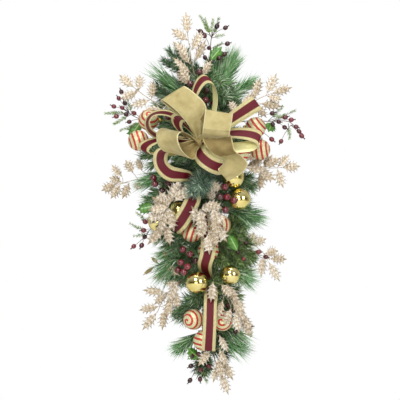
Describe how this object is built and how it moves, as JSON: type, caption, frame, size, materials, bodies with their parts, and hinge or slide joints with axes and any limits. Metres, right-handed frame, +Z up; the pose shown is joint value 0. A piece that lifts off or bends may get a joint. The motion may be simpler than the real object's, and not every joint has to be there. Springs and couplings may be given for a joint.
{
  "type": "christmas door swag",
  "caption": "Hanging teardrop door swag of artificial pine, glittered holly sprays, berry picks and round baubles on a wire-bound spine, with a two-ribbon bow and trailing tails.",
  "frame": {"origin": "on the door's face, level with the top of the wire hanger loop that the door hook holds", "axes": "+Z up along the swag, -Y out of the door towards the viewer, +X to the viewer's right"},
  "size_m": [0.4875, 0.2396, 0.9134],
  "materials": {
    "stem_tape": "green floral tape wound round the bound wire stems",
    "hanger_wire": "bare galvanised wire, slightly dull",
    "tie_wire": "green painted florist wire",
    "gold_ribbon": "metallic gold mesh ribbon with wired edges, satin",
    "burgundy_ribbon": "burgundy woven ribbon with cream-gold edge bands and a gold reverse",
    "gold_ball": "polished gold coating",
    "striped_ball": "cream ball with fine glitter and red glitter swirls",
    "cranberry": "glossy dark red berries",
    "champagne_leaf": "champagne leaves covered in fine glitter",
    "olive_leaf": "matte olive leaves",
    "rosehip_pick": "dark rosehips on brown twigs with fine green sprigs, half matte",
    "pine_dark": "dark green moulded needles, matte",
    "pine_mid": "mid green moulded needles, matte",
    "pine_blue": "blue-green moulded needles, matte"
  },
  "bodies": {
    "root": {"ball_gold_1": "gold_ball", "ball_gold_2": "gold_ball", "ball_gold_3": "gold_ball", "ball_gold_4": "gold_ball", "ball_gold_5": "gold_ball", "ball_gold_6": "gold_ball", "ball_striped_01": "striped_ball", "ball_striped_02": "striped_ball", "ball_striped_03": "striped_ball", "ball_striped_04": "striped_ball", "ball_striped_05": "striped_ball", "ball_striped_06": "striped_ball", "ball_striped_07": "striped_ball", "ball_striped_08": "striped_ball", "ball_striped_09": "striped_ball", "ball_striped_10": "striped_ball", "ball_striped_11": "striped_ball", "bow_burgundy": "burgundy_ribbon", "bow_gold": "gold_ribbon", "bow_wire": "tie_wire", "cranberries_bow": "cranberry", "cranberries_left": "cranberry", "cranberries_low": "cranberry", "cranberries_right": "cranberry", "cranberries_top": "cranberry", "hanger": "hanger_wire", "holly_chain_right": "champagne_leaf", "holly_cluster_centre": "champagne_leaf", "holly_cluster_left": "champagne_leaf", "holly_spray_bottom": "champagne_leaf", "holly_spray_left": "champagne_leaf", "holly_spray_left_low": "champagne_leaf", "holly_spray_right": "champagne_leaf", "holly_spray_right_low": "champagne_leaf", "holly_spray_top": "champagne_leaf", "holly_spray_upper_left": "champagne_leaf", "holly_spray_upper_right": "champagne_leaf", "olive_sprig": "olive_leaf", "pine_bottom_left": "pine_dark", "pine_bottom_right": "pine_mid", "pine_centre": "pine_blue", "pine_left": "pine_mid", "pine_left_low": "pine_mid", "pine_right": "pine_mid", "pine_right_low": "pine_dark", "pine_upper_left": "pine_dark", "pine_upper_right": "pine_mid", "ribbon_centre": "burgundy_ribbon", "rosehip_pick_bottom": "rosehip_pick", "rosehip_pick_left": "rosehip_pick", "rosehip_pick_left_low": "rosehip_pick", "rosehip_pick_right": "rosehip_pick", "rosehip_pick_right_bottom": "rosehip_pick", "rosehip_pick_right_low": "rosehip_pick", "rosehip_pick_top": "rosehip_pick", "spine": "stem_tape"}
  },
  "joints": []
}
